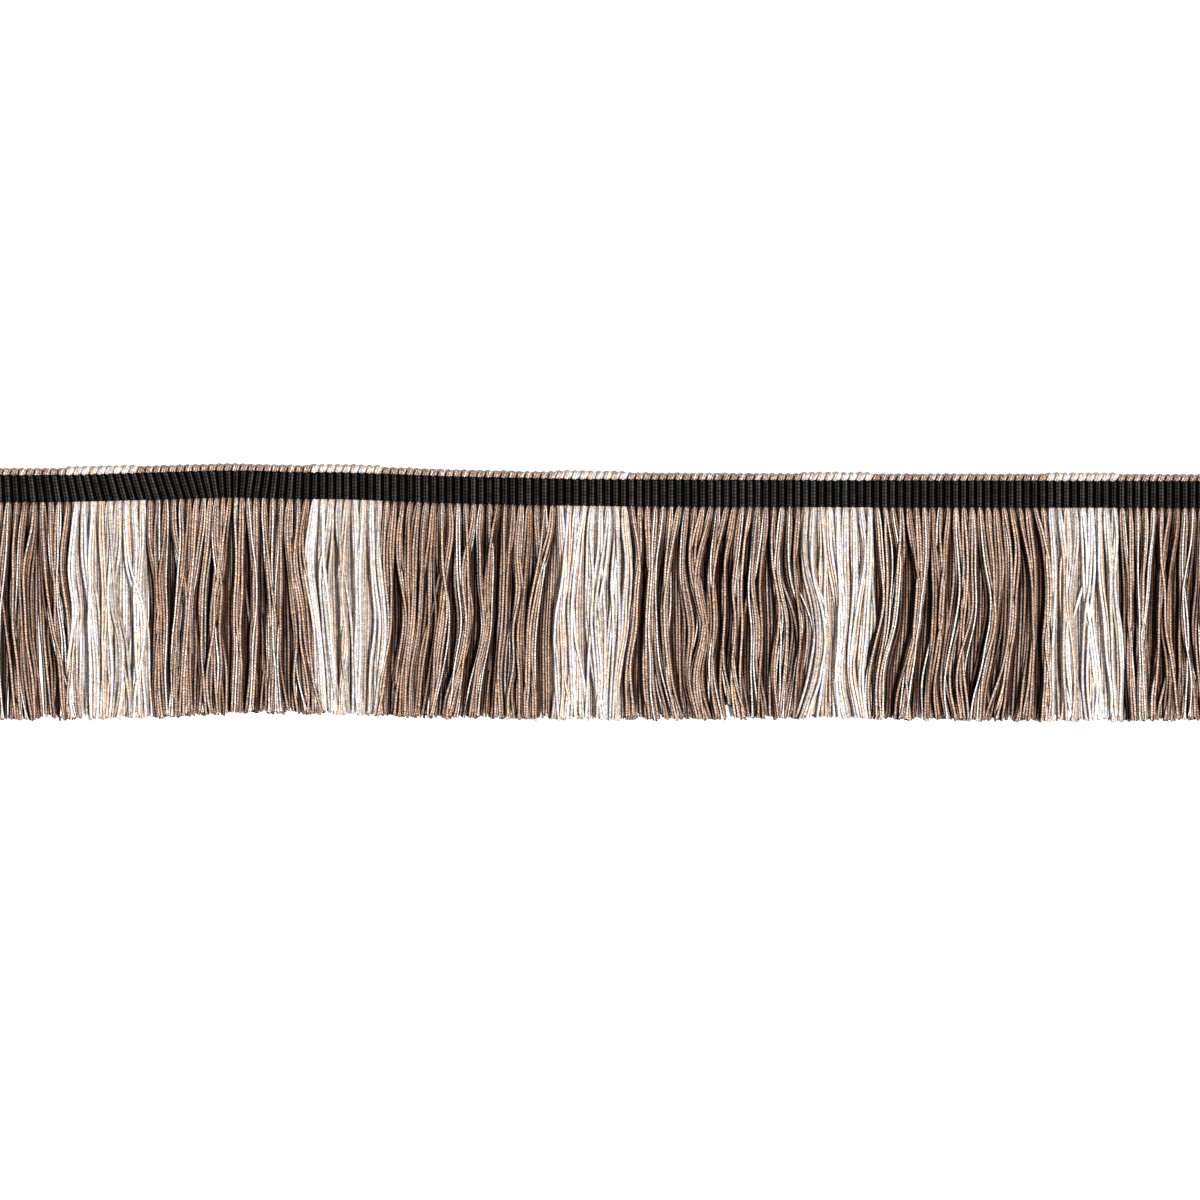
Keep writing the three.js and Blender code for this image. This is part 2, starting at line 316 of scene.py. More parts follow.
# Spinning leaves thick and thin places about 1.1 mm long, where the twist is uneven too, in marks.
# Fibres of 0.02 mm are too fine to show, so they are drawn as tufts of about 0.4 mm.
THICK_PLACE = MM / 0.9
THICK_PLACE_LIGHT = (0.72, 1.24)
TWIST_UNEVEN = 2.5
TUFT = MM / 2.6
TUFT_LIGHT = (0.78, 1.2)
TUFT_HEIGHT = 0.5
YARN_RELIEF = 0.07 * MM

# The black warp: uneven patches of about 1.4 mm, and filaments along the warp thread. A filament of
# 0.03 mm is too fine to show, so it is drawn about 0.1 mm wide and 1.1 mm long.
WARP_PATCH = MM / 0.7
WARP_PATCH_LIGHT = (0.6, 1.4)
# How dark the warp is painted away from its painted highlight, and how sharp that highlight is.
WARP_DARK = 0.004
CREST_SHARPNESS = 1.7
FILAMENT_LENGTH = MM / 0.9
FILAMENT_WIDTH = MM / 9
FILAMENT_RELIEF = 0.03 * MM

# The values that most of a soft noise and most of a fine noise lie between.
SOFT_LOW, SOFT_HIGH = 0.3, 0.7
FINE_LOW, FINE_HIGH = 0.35, 0.65

# The photo's frame, for the camera.
PHOTO_WIDTH = 1200
PIXEL = 0.245 * MM
HEADING_TOP_ROW = 470.4
CAMERA_HEIGHT = 1.3
CAMERA_REACH = 20
SENSOR_WIDTH = 36.0

# The stage. Columns of the suns: strength, angle across, side that it shines from and lift above the
# floor, the last three in degrees.
FLOOR_SIZE = 4.0
FLOOR_GAP = 0.02 * MM
SUNS = {"key": (5.4, 9, -30, 62), "fill": (0.7, 25, 150, 50)}
STUDIO_LIGHT = 0.12


def linear(hex_colour):
    """Turns an sRGB hex colour to linear RGB."""
    channels = [int(hex_colour[i:i + 2], 16) / 255 for i in (1, 3, 5)]
    return tuple(c / 12.92 if c <= 0.04045 else ((c + 0.055) / 1.055) ** 2.4 for c in channels)


def scaled(colour, factors):
    """The colour with each channel multiplied, as a node's colour."""
    return (*(c * f for c, f in zip(colour, factors)), 1)


class TrimSizes(bpy.types.PropertyGroup):
    """Sizes that a user would change."""
    yarn: bpy.props.FloatProperty(
        name="Yarn", description="Diameter of the two-ply weft yarn",
        default=0.74 * MM, precision=5, unit="LENGTH", subtype="DISTANCE")
    ply_mark: bpy.props.FloatProperty(
        name="Ply mark", description="Distance between the plies' marks along a yarn",
        default=0.66 * MM, precision=5, unit="LENGTH", subtype="DISTANCE")
    accent_share: bpy.props.FloatProperty(
        name="Accent wefts", description="Share of ribs that hold one weft of the other colour",
        default=0.8, min=0.0, max=1.0, subtype="FACTOR")
    seed: bpy.props.IntProperty(
        name="Seed", description="Which way the yarns happen to fall", default=7)


class TrimColours(bpy.types.PropertyGroup):
    """Colours that a user would change."""
    # The warp colour is that of its brightest painted highlight, and the rest is painted darker.
    warp: bpy.props.FloatVectorProperty(
        name="Warp", description="Black warp of the heading",
        default=linear("#4a4746"), subtype="COLOR")
    brown: bpy.props.FloatVectorProperty(
        name="Brown", description="Brown weft yarn", default=linear("#cfae98"), subtype="COLOR")
    ivory: bpy.props.FloatVectorProperty(
        name="Ivory", description="Ivory weft yarn", default=linear("#ded7d1"), subtype="COLOR")
    tan: bpy.props.FloatVectorProperty(
        name="Tan", description="The few tan wefts in an ivory block",
        default=linear("#d2b5a2"), subtype="COLOR")
    floor: bpy.props.FloatVectorProperty(
        name="Floor", description="Pale floor under the trim",
        default=linear("#f8f8f8"), subtype="COLOR")


def smooth_read(xs, ys, x):
    """Reads the smooth curve through a table's points at each x."""
    slopes = np.empty(len(xs))
    slopes[1:-1] = (ys[2:] - ys[:-2]) / (xs[2:] - xs[:-2])
    slopes[0] = (ys[1] - ys[0]) / (xs[1] - xs[0])
    slopes[-1] = (ys[-1] - ys[-2]) / (xs[-1] - xs[-2])
    place = np.clip(x, xs[0], xs[-1])
    i = np.clip(np.searchsorted(xs, place) - 1, 0, len(xs) - 2)
    span = xs[i + 1] - xs[i]
    u = (place - xs[i]) / span
    rise = u * u * (3 - 2 * u)
    start = u * (1 - u) ** 2 * span * slopes[i]
    end = u * u * (u - 1) * span * slopes[i + 1]
    return ys[i] + (ys[i + 1] - ys[i]) * rise + start + end


def ease(x, low, high):
    """Goes smoothly from 0 at low to 1 at high."""
    u = np.clip((x - low) / (high - low), 0, 1)
    return u * u * (3 - 2 * u)


def lie_at(x, column):
    """Reads a column of the heading's table at each x."""
    return smooth_read(HEADING_LIE[:, 0], HEADING_LIE[:, column], x)


def rib_line(i):
    """Place along X of the line between rib i - 1 and rib i, before the heading's lean."""
    return HEADING_LOW.x + i * RIB_PITCH


# The heading's highest point along Y sets where the table's rise of 0 lies in the frame.
HALF_RIBS = np.arange(2 * RIB_COUNT + 1) / 2
TABLE_Y = HEADING_HIGH.y - lie_at(rib_line(HALF_RIBS), RISE).max()


def heading_point(x, share):
    """The point on a rib that starts at x on the top edge, at the share of the way down."""
    return x + lie_at(x, LEAN) * share, TABLE_Y + lie_at(x, RISE) - HEADING_WIDTH * share


def colour_blocks():
    """The colour blocks from left to right: colour, number, first rib and ribs."""
    blocks = []
    first, ribs, colour = 0, FIRST_BROWN_RIBS, "brown"
    count = {"brown": 0, "ivory": 0}
    while first < RIB_COUNT:
        ribs = min(ribs, RIB_COUNT - first)
        count[colour] += 1
        blocks.append((colour, count[colour], first, ribs))
        first += ribs
        colour = "ivory" if colour == "brown" else "brown"
        ribs = BROWN_RIBS if colour == "brown" else IVORY_RIBS
    return blocks


def weft_accents(sizes):
    """Which wefts of each rib have the accent colour, and each weft's own tone."""
    rng = np.random.default_rng(sizes.seed)
    accent = np.zeros((RIB_COUNT, WEFTS_PER_RIB))
    for rib in range(RIB_COUNT):
        if rng.random() < sizes.accent_share:
            accent[rib, rng.integers(WEFTS_PER_RIB)] = 1
    tone = np.clip(rng.normal(0, TONE_SPREAD, (RIB_COUNT, WEFTS_PER_RIB)), -1, 1)
    return accent, tone


def tube_rings(paths, radii, sides):
    """The points of tubes along paths: a ring of points around each station."""
    tangent = np.gradient(paths, axis=1)
    tangent /= np.linalg.norm(tangent, axis=2, keepdims=True)
    across = np.array([1.0, 0, 0]) - tangent[..., :1] * tangent
    across /= np.linalg.norm(across, axis=2, keepdims=True)
    up = np.cross(tangent, across)
    angle = 2 * math.pi * np.arange(sides) / sides
    ring = across[:, :, None] * np.cos(angle)[:, None] + up[:, :, None] * np.sin(angle)[:, None]
    return paths[:, :, None] + ring * radii[:, :, None, None]


def tube_uvs(paths, sides, offsets):
    """For each corner of the walls and then of the caps: share of the way around, length along."""
    tubes, stations, _ = paths.shape
    steps = np.linalg.norm(np.diff(paths, axis=1), axis=2)
    along = np.concatenate([np.zeros((tubes, 1)), np.cumsum(steps, 1)], 1) + offsets[:, None]
    around = np.broadcast_to(np.arange(sides) / sides, (tubes, stations - 1, sides))
    next_around = around + 1 / sides
    low = np.broadcast_to(along[:, :-1, None], around.shape)
    high = np.broadcast_to(along[:, 1:, None], around.shape)
    walls = np.stack([around, low, next_around, low, next_around, high, around, high], -1)
    # Cut ends take the upper side's place around the yarn, so they get its painted light.
    caps = np.full((2 * tubes, sides, 2), TOP_OF_YARN)
    caps[:tubes, :, 1] = along[:, :1]
    caps[tubes:, :, 1] = along[:, -1:]
    return [walls.reshape(-1), caps.reshape(-1)]


class TubeMesh:
    """Collects yarns as closed tubes and makes them one mesh."""

    def __init__(self):
        self.points, self.faces, self.uvs = [], [], []
        self.looks = {"tone": [], "accent": [], "painted_shade": []}
        self.size = 0

    def add(self, paths, radii, sides, tone, accent, offsets, painted_shade):
        """Adds tubes along paths of shape (tubes, stations, 3)."""
        tubes, stations, _ = paths.shape
        points = tube_rings(paths, radii, sides).reshape(-1, 3)
        index = np.arange(len(points)).reshape(tubes, stations, sides) + self.size
        turned = np.roll(index, -1, axis=2)
        quads = np.stack([index[:, :-1], turned[:, :-1], turned[:, 1:], index[:, 1:]], -1)
        self.points.append(points)
        self.faces += quads.reshape(-1, 4).tolist()
        self.faces += index[:, 0, ::-1].tolist() + index[:, -1].tolist()
        self.uvs += tube_uvs(paths, sides, offsets)
        self.looks["tone"].append(np.repeat(tone, stations * sides))
        self.looks["accent"].append(np.repeat(accent, stations * sides))
        self.looks["painted_shade"].append(np.repeat(painted_shade.reshape(-1), sides))
        self.size += len(points)

    def make(self, name, material):
        """Makes the piece from all tubes that were added."""
        mesh = bpy.data.meshes.new(name)
        mesh.from_pydata(np.concatenate(self.points).tolist(), [], self.faces)
        mesh.uv_layers.new(name="yarn").data.foreach_set("uv", np.concatenate(self.uvs))
        for word, values in self.looks.items():
            attribute = mesh.attributes.new(word, "FLOAT", "POINT")
            attribute.data.foreach_set("value", np.concatenate(values))
        place_piece(name, mesh, material)


def place_piece(name, mesh, material):
    """Puts a finished mesh in the scene as a piece that stands for the CAD node of its name."""
    mesh.shade_smooth()
    piece = bpy.data.objects.new("trim_" + name, mesh)
    bpy.context.scene.collection.objects.link(piece)
    mesh.materials.append(material)
    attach(piece, BODY)
    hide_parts(name)


def new_material(name):
    """An empty material."""
    material = bpy.data.materials.new(name)
    material.use_nodes = True
    material.node_tree.nodes.clear()
    return material


def add_node(material, kind, inputs=None, **settings):
    """Adds one shader node with its settings, and sets or links its inputs. The inputs of a map
    range are its value, then from low, from high, to low and to high. Those of a colour mix are
    its factor, and then 6 and 7 for its colours."""
    tree = material.node_tree
    node = tree.nodes.new("ShaderNode" + kind)
    for name, value in settings.items():
        setattr(node, name, value)
    for socket, value in (inputs or {}).items():
        if isinstance(value, bpy.types.NodeSocket):
            tree.links.new(value, node.inputs[socket])
        else:
            node.inputs[socket].default_value = value
    return node


def ply_marks(material, yarn, thick_places, ply_mark):
    """The rope-like marks of the two plies: 1 on a ply, and -1 in the groove beside it."""
    turns = add_node(material, "Math", {0: yarn.outputs[1], 1: 1 / ply_mark}, operation="MULTIPLY")
    phase = add_node(material, "Math", {0: yarn.outputs[0], 1: turns.outputs[0]}, operation="ADD")
    uneven = add_node(material, "Math",
                      {0: thick_places.outputs[0], 1: TWIST_UNEVEN, 2: phase.outputs[0]},
                      operation="MULTIPLY_ADD")
    wave = add_node(material, "Math", {0: uneven.outputs[0], 1: 2 * math.pi}, operation="MULTIPLY")
    return add_node(material, "Math", {0: wave.outputs[0]}, operation="SINE")


def drifting_hue(material, yarn, tone):
    """No two yarns took the dye alike: a yarn goes from golden to greyish and back along itself."""
    run = add_node(material, "Math", {0: yarn.outputs[1], 1: 1 / HUE_LENGTH}, operation="MULTIPLY")
    place = add_node(material, "Math", {0: tone.outputs["Fac"], 1: HUE_APART, 2: run.outputs[0]},
                     operation="MULTIPLY_ADD")
    drift = add_node(material, "TexNoise", {"W": place.outputs[0], "Scale": 1.0, "Detail": 1.0},
                     noise_dimensions="1D")
    share = add_node(material, "MapRange", {0: drift.outputs[0], 1: FINE_LOW, 2: FINE_HIGH})
    return add_node(material, "Mix", {"Factor": share.outputs[0], 6: (*GOLDEN, 1), 7: (*GREYISH, 1)},
                    data_type="RGBA")


def yarn_dye(material, yarn, main_colour, accent_colour):
    """The dye of each yarn: duller or brighter and drifting in hue, or the accent colour."""
    tone = add_node(material, "Attribute", attribute_name="tone")
    brightness = add_node(material, "MapRange", {0: tone.outputs["Fac"], 1: -1.0, 2: 1.0})
    dye = add_node(material, "Mix",
                   {"Factor": brightness.outputs[0], 6: scaled(main_colour, DULL_YARN),
                    7: scaled(main_colour, BRIGHT_YARN)}, data_type="RGBA")
    hue = drifting_hue(material, yarn, tone)
    dye = add_node(material, "Mix", {"Factor": 1.0, 6: dye.outputs[2], 7: hue.outputs[2]},
                   data_type="RGBA", blend_type="MULTIPLY")
    accent = add_node(material, "Attribute", attribute_name="accent")
    return add_node(material, "Mix",
                    {"Factor": accent.outputs["Fac"], 6: dye.outputs[2],
                     7: scaled(accent_colour, ACCENT_LIGHT)}, data_type="RGBA")


def yarn_light(material, yarn, thick_places, tufts, plies, painted_flank_shade, painted_ply_shade):
    """How light the yarn is: its thick places and tufts, and painted light and shade by its plies and
    slope.
    """
    thick_low, thick_high = THICK_PLACE_LIGHT
    tuft_low, tuft_high = TUFT_LIGHT
    thick_light = add_node(material, "MapRange", {
        0: thick_places.outputs[0], 1: SOFT_LOW, 2: SOFT_HIGH, 3: thick_low, 4: thick_high})
    tuft_light = add_node(material, "MapRange", {
        0: tufts.outputs[0], 1: FINE_LOW, 2: FINE_HIGH, 3: tuft_low, 4: tuft_high})
    # Painted shade in the grooves between the plies, and a painted highlight on their crests.
    painted_ply_light = add_node(material, "MapRange", {
        0: plies.outputs[0], 1: PLY_GROOVE, 2: PLY_CREST, 3: painted_ply_shade, 4: PLY_LIGHT},
        interpolation_type="SMOOTHSTEP")
    # Painted light and shade: a yarn is brightest along its upper side and dark on its flanks.
    around = add_node(material, "Math", {0: yarn.outputs[0], 1: 2 * math.pi}, operation="MULTIPLY")
    upper = add_node(material, "Math", {0: around.outputs[0]}, operation="SINE")
    painted_flank_light = add_node(material, "MapRange", {
        0: upper.outputs[0], 1: FLANK_DARK, 2: FLANK_LIT, 3: painted_flank_shade, 4: UPPER_LIGHT})
    light = thick_light
    for part in (tuft_light, painted_ply_light, painted_flank_light):
        light = add_node(material, "Math", {0: light.outputs[0], 1: part.outputs[0]},
                         operation="MULTIPLY")
    return light


def painted_deep_shade(material, colour, painted_shade_tint):
    """Painted shade on yarn deep in the brush, where little light comes back, and that little is warm.
    """
    painted_shade = add_node(material, "Attribute", attribute_name="painted_shade")
    buried = add_node(material, "MapRange", {
        0: painted_shade.outputs["Fac"], 1: SHADOW_START, 2: SHADOW_FULL})
    return add_node(material, "Mix",
                    {"Factor": buried.outputs[0], 6: colour.outputs[0], 7: (*painted_shade_tint, 1)},
                    data_type="RGBA", blend_type="MULTIPLY")


def spun_cotton(name, main_colour, accent_colour, yarn_shade, ply_mark):
    """Spun cotton, two-ply, dyed: matte and soft, with rope-like relief and painted shade where plies
    turn.
    """
    painted_shade_tint, painted_flank_shade, painted_ply_shade = yarn_shade
    material = new_material(name)
    place = add_node(material, "UVMap", uv_map="yarn")
    yarn = add_node(material, "SeparateXYZ", {0: place.outputs[0]})
    spot = add_node(material, "TexCoord")
    thick_places = add_node(material, "TexNoise", {
        "Vector": spot.outputs["Object"], "Scale": 1 / THICK_PLACE, "Detail": 3.0})
    tufts = add_node(material, "TexNoise", {
        "Vector": spot.outputs["Object"], "Scale": 1 / TUFT, "Detail": 2.0})
    plies = ply_marks(material, yarn, thick_places, ply_mark)
    dye = yarn_dye(material, yarn, main_colour, accent_colour)
    light = yarn_light(material, yarn, thick_places, tufts, plies, painted_flank_shade, painted_ply_shade)
    colour = add_node(material, "VectorMath", {0: dye.outputs[2], "Scale": light.outputs[0]},
                      operation="SCALE")
    # Painted shade: yarn deep in the pile is darkened towards a warm tint.
    colour = painted_deep_shade(material, colour, painted_shade_tint)
    # The tufts stand off the yarn by a few hundredths of a millimetre.
    height = add_node(material, "Math", {0: tufts.outputs[0], 1: TUFT_HEIGHT, 2: plies.outputs[0]},
                      operation="MULTIPLY_ADD")
    bump = add_node(material, "Bump", {
        "Height": height.outputs[0], "Strength": 0.8, "Distance": YARN_RELIEF})
    cloth = add_node(material, "BsdfPrincipled", {
        "Base Color": colour.outputs[2], "Roughness": 0.85, "Specular IOR Level": 0.15,
        "Normal": bump.outputs[0]})
    add_node(material, "OutputMaterial", {"Surface": cloth.outputs[0]})
    return material


def black_warp(warp_colour):
    """Black viscose warp, woven tight over the weft: dark, with a soft painted highlight on a thread.
    """
    material = new_material("woven_black_viscose")
    spot = add_node(material, "TexCoord")
    patch_low, patch_high = WARP_PATCH_LIGHT
    patches = add_node(material, "TexNoise", {
        "Vector": spot.outputs["Object"], "Scale": 1 / WARP_PATCH, "Detail": 3.0})
    uneven = add_node(material, "MapRange", {
        0: patches.outputs[0], 1: SOFT_LOW, 2: SOFT_HIGH, 3: patch_low, 4: patch_high})
    # Painted highlight on the tops of the warp threads, and painted shade between them.
    painted_highlight = add_node(material, "Attribute", attribute_name="painted_highlight")
    peak = add_node(material, "Math", {0: painted_highlight.outputs["Fac"], 1: CREST_SHARPNESS},
                    operation="POWER")
    lit = add_node(material, "MapRange", {0: peak.outputs[0], 3: WARP_DARK, 4: 1.0})
    light = add_node(material, "Math", {0: uneven.outputs[0], 1: lit.outputs[0]},
                     operation="MULTIPLY")
    colour = add_node(material, "VectorMath", {0: warp_colour, "Scale": light.outputs[0]},
                      operation="SCALE")
    stretch = add_node(material, "Mapping", {
        "Vector": spot.outputs["Object"],
        "Scale": (1 / FILAMENT_LENGTH, 1 / FILAMENT_WIDTH, 1 / FILAMENT_WIDTH)})
    filament = add_node(material, "TexNoise", {
        "Vector": stretch.outputs[0], "Scale": 1.0, "Detail": 2.0})
    bump = add_node(material, "Bump", {
        "Height": filament.outputs[0], "Strength": 0.5, "Distance": FILAMENT_RELIEF})
    cloth = add_node(material, "BsdfPrincipled", {
        "Base Color": colour.outputs[0], "Roughness": 0.55, "Specular IOR Level": 0.02,
        "Normal": bump.outputs[0]})
    add_node(material, "OutputMaterial", {"Surface": cloth.outputs[0]})
    return material


def weft_material(context, colour):
    """The block's yarn, made once: brown with a few ivory wefts, or ivory with a few tan ones."""
    name = f"spun_cotton_{colour}"
    if name in bpy.data.materials:
        return bpy.data.materials[name]
    dyes = context.scene.trim_colours
    main, other = (dyes.brown, dyes.ivory) if colour == "brown" else (dyes.ivory, dyes.tan)
    return spun_cotton(name, main, other, YARN_SHADE[colour], context.scene.trim_sizes.ply_mark)


def heading_columns(rng):
    """The heading's cross-sections: place along X, height of the rib, and its painted highlight."""
    columns = []
    for rib in range(RIB_COUNT):
        rib_light = rng.uniform(*RIB_LIGHT)
        for share, hump, light in RIB_PROFILE:
            height = GROOVE_HEIGHT + (CROWN_HEIGHT - GROOVE_HEIGHT) * hump
            columns.append((rib_line(rib + share), height, light * rib_light))
    columns.append((rib_line(RIB_COUNT), GROOVE_HEIGHT, 0.0))
    return np.array(columns).T[..., None]


def heading_rings(rng):
    """One closed ring of points for each cross-section: over the face, down, and back below.
    Gives the rings and the painted highlight on the warp at each point."""
    places, heights, lights = heading_columns(rng)
    rows = np.arange(FLOATS * ROWS_PER_FLOAT + 1)
    rib = np.floor((places - HEADING_LOW.x) / RIB_PITCH + ROUNDING)
    shift = FLOAT_SHIFT * (1 - 2 * (rib % 2))
    share = np.clip((rows / ROWS_PER_FLOAT + shift) / FLOATS, 0, 1)
    share[:, 0], share[:, -1] = 0, 1
    thread = np.abs(np.sin(math.pi * rows / ROWS_PER_FLOAT))
    edge = 1 - ease(np.minimum(share, 1 - share) * HEADING_WIDTH, 0, EDGE_ROUND)
    groove = 1 - (heights - GROOVE_HEIGHT) / (CROWN_HEIGHT - GROOVE_HEIGHT)

    x, y = heading_point(places, share)
    # The warp draws both edges in a little at each groove.
    y = y - GROOVE_PULLED_IN * groove * (1 - 2 * share) * np.abs(1 - 2 * share) ** 4
    z = heights - THREAD_RELIEF * (1 - thread) - EDGE_DROP * edge
    below_x, below_y = heading_point(places, BELOW_SHARE)
    below_z = BELOW_RISE * heights + UNDERSIDE_GROOVE * groove
    rings = np.stack([np.concatenate([x, below_x], 1), np.concatenate([y, below_y], 1),
                      np.concatenate([z, below_z], 1)], -1)
    # Painted highlight on the warp: dimmer at a float's ends, and none on the rounded edges or below.
    float_light = FLOAT_END_LIGHT + (1 - FLOAT_END_LIGHT) * thread
    painted_highlight = np.concatenate([lights * float_light * (1 - edge), np.zeros_like(below_z)], 1)
    return rings, painted_highlight


def loft(rings):
    """Faces of a closed surface through rings of equal size, with a cap at each end."""
    count, size, _ = rings.shape
    index = np.arange(count * size).reshape(count, size)
    turned = np.roll(index, -1, axis=1)
    quads = np.stack([index[:-1], index[1:], turned[1:], turned[:-1]], -1)
    return quads.reshape(-1, 4).tolist() + [index[0].tolist(), index[-1, ::-1].tolist()]


class TRIM_OT_heading(bpy.types.Operator):
    """Weave the black ribbed heading"""
    bl_idname = "trim.heading"
    bl_label = "Heading"

    def execute(self, context):
        rng = np.random.default_rng(context.scene.trim_sizes.seed + RIB_SEED)
        rings, painted_highlight = heading_rings(rng)
        mesh = bpy.data.meshes.new("heading")
        mesh.from_pydata(rings.reshape(-1, 3).tolist(), [], loft(rings))
        mesh.attributes.new("painted_highlight", "FLOAT", "POINT").data.foreach_set("value", painted_highlight.reshape(-1))
        warp = black_warp(tuple(context.scene.trim_colours.warp))
        place_piece("heading", mesh, warp)
        return {"FINISHED"}


def loop_paths(colour, ribs, rng):
    """The routes of the turned wefts of one block: slanted rings over the bead of each rib.
    Gives the routes, and the rib and the weft of each."""
    ribs = np.repeat(ribs, BEAD_WEFTS)
    count = len(ribs)
    weft = np.tile(np.arange(BEAD_WEFTS), count // BEAD_WEFTS)
    half_y, half_z, out, radius = BEAD[colour]
    side = 2 * (weft + 0.5) / BEAD_WEFTS - 1
    swell = (1 - BEAD_ROUND * side ** 2) * rng.uniform(*BEAD_UNEVEN, RIB_COUNT)[ribs]
    slant = np.tan(BEAD_SLANT + rng.normal(0, SLANT_SPREAD, count))
    turn = np.linspace(BEAD_START, BEAD_END, LOOP_STATIONS)
    reach = half_y * swell[:, None] * np.cos(turn)
    edge_x, edge_y = heading_point(rib_line(ribs + 0.5 + 0.5 * BEAD_SHARE * side), 0.0)
    x = edge_x[:, None] + slant[:, None] * reach
    y = edge_y[:, None] + out + reach
    z = radius + half_z * np.maximum(1 + swell[:, None] * np.sin(turn), 0)
    return np.stack([x, y, z], -1), ribs, weft


class TRIM_OT_loops(bpy.types.Operator):
    """Turn the weft over the heading's top edge, a piece for each colour block"""
    bl_idname = "trim.loops"
    bl_label = "Turned weft"

    def execute(self, context):
        sizes = context.scene.trim_sizes
        accent, tone = weft_accents(sizes)
        rng = np.random.default_rng(sizes.seed + LOOP_SEED)
        for colour, number, first, ribs in colour_blocks():
            paths, rib, weft = loop_paths(colour, np.arange(first, first + ribs), rng)
            offsets = rng.uniform(0, sizes.ply_mark, len(rib))
            *_, radius = BEAD[colour]
            radii = np.full(paths.shape[:2], radius)
            # The turned weft gets an even painted shade.
            shadow = np.full(paths.shape[:2], BEAD_SHADOW)
            tubes = TubeMesh()
            tubes.add(paths, radii, LOOP_SIDES, tone[rib, weft], accent[rib, weft], offsets, shadow)
            tubes.make(f"loops_{colour}_{number}", weft_material(context, colour))
        return {"FINISHED"}


def lock_lines(shares):
    """The line between each two locks, a row for each share of the locks' length."""
    roots, _ = heading_point(rib_line(np.arange(RIB_COUNT + 1)), 1.0)
    places, *sways = LOCK_SWAY.T
    shifts = np.array([np.zeros(RIB_COUNT + 1), *(smooth_read(places, sway, roots) for sway in sways)])
    lines = np.stack([smooth_read(SWAY_STATIONS, shift, shares) for shift in shifts.T], 1) + roots
    for i in range(1, RIB_COUNT + 1):
        lines[:, i] = np.maximum(lines[:, i], lines[:, i - 1] + LOCK_LEAST_SPACE)
    lines[:, -1] = np.minimum(lines[:, -1], HEADING_HIGH.x)
    for i in range(RIB_COUNT - 1, -1, -1):
        lines[:, i] = np.minimum(lines[:, i], lines[:, i + 1] - LOCK_LEAST_SPACE)
    return lines


def clump_pull(place, rng):
    """How far each place, in ribs, lies from the middle of the nearest clump of locks."""
    spacing = rng.uniform(CLUMP_LEAST, CLUMP_MOST, int(RIB_COUNT / CLUMP_LEAST) + 2)
    middles = np.cumsum(spacing) - CLUMP_MOST
    nearest = np.abs(place[:, None] - middles[None, :]).argmin(1)
    return middles[nearest] - place


def slow_drift(count, shares, size, rng):
    """A slow random drift of some strands, 0 at the root. Rows are cross-sections."""
    drift = np.zeros((len(shares), count))
    for waves, part in DRIFT_WAVES:
        phase = rng.uniform(0, 2 * math.pi, count)
        reach = rng.normal(0, size * part, count)
        drift += reach * (np.sin(2 * math.pi * waves * shares[:, None] + phase) - np.sin(phase))
    return drift


def yarn_wander(count, shares, rng):
    """Each yarn's own sideways wander, in ribs. Some fan out at the hem and a few cross over."""
    fanned = rng.normal(0, FANNED, count) * (ease(shares, FAN_START, 1.0) ** 2)[:, None]
    crosses = (rng.random(count) < CROSSING_SHARE) * rng.normal(0, CROSSING_REACH, count)
    crossed = crosses * ease(shares, CROSSING_START, CROSSING_END)[:, None]
    return slow_drift(count, shares, YARN_DRIFT, rng) + fanned + crossed


def lock_flow(rib, bundle, shares, rng):
    """Each yarn's place, in ribs, at each cross-section, as locks lean together, part and open."""
    clumping = LAYER_CLUMPING[bundle[:, LAYER].astype(int)]
    together = CLUMP_PULL * clump_pull(np.arange(RIB_COUNT) + 0.5, rng)
    tight = (1 + slow_drift(RIB_COUNT, shares, CLUMP_DRIFT, rng)).clip(0, CLUMP_LIMIT)
    joined = ease(shares, CLUMP_START, CLUMP_END)[:, None] * tight
    lean = joined * together + slow_drift(RIB_COUNT, shares, LOCK_DRIFT, rng)
    width = (LOCK_WIDTH + slow_drift(RIB_COUNT, shares, WIDTH_DRIFT, rng)).clip(NARROWEST, WIDEST)
    across = bundle[:, OPEN_PLACE] * (1 + clumping * (width[:, rib] - 1))
    wander = yarn_wander(len(rib), shares, rng) * (FREE_WANDER + (1 - FREE_WANDER) * clumping)
    flow = rib + 0.5 + clumping * lean[:, rib] + across + wander
    opened = ease(shares, 0.0, LOCK_OPEN)[:, None]
    return (rib + 0.5 + bundle[:, ROOT_PLACE]) * (1 - opened) + flow * opened


def yarn_targets(flow, lines, layer):
    """Where each yarn would lie along X if no other yarn pushed it."""
    ribs = np.arange(RIB_COUNT + 1)
    swayed = np.stack([np.interp(places, ribs, line) for places, line in zip(flow, lines)])
    straight = np.stack([np.interp(places, ribs, lines[0]) for places in flow])
    # The lowest yarn lies straighter than the rest, and so it covers the surface below.
    return straight + LAYER_SWAY[layer] * (swayed - straight)


def push_apart(x, z, least):
    """Moves yarns apart where two are closer than least, in each cross-section."""
    order = np.argsort(x, axis=1)
    sorted_x = np.take_along_axis(x, order, 1)
    sorted_z = np.take_along_axis(z, order, 1)
    move_x = np.zeros_like(x)
    move_z = np.zeros_like(z)
    for k in range(1, NEIGHBOURS + 1):
        gap_x = sorted_x[:, k:] - sorted_x[:, :-k]
        gap_z = sorted_z[:, k:] - sorted_z[:, :-k]
        apart = np.hypot(gap_x, gap_z) + NO_DISTANCE
        push = 0.5 * np.clip(least - apart, 0, None) / apart
        move_x[:, k:] += gap_x * push
        move_x[:, :-k] -= gap_x * push
        move_z[:, k:] += gap_z * push
        move_z[:, :-k] -= gap_z * push
    np.put_along_axis(x, order, sorted_x + PUSH_SHARE * move_x, 1)
    np.put_along_axis(z, order, sorted_z + PUSH_SHARE * move_z, 1)


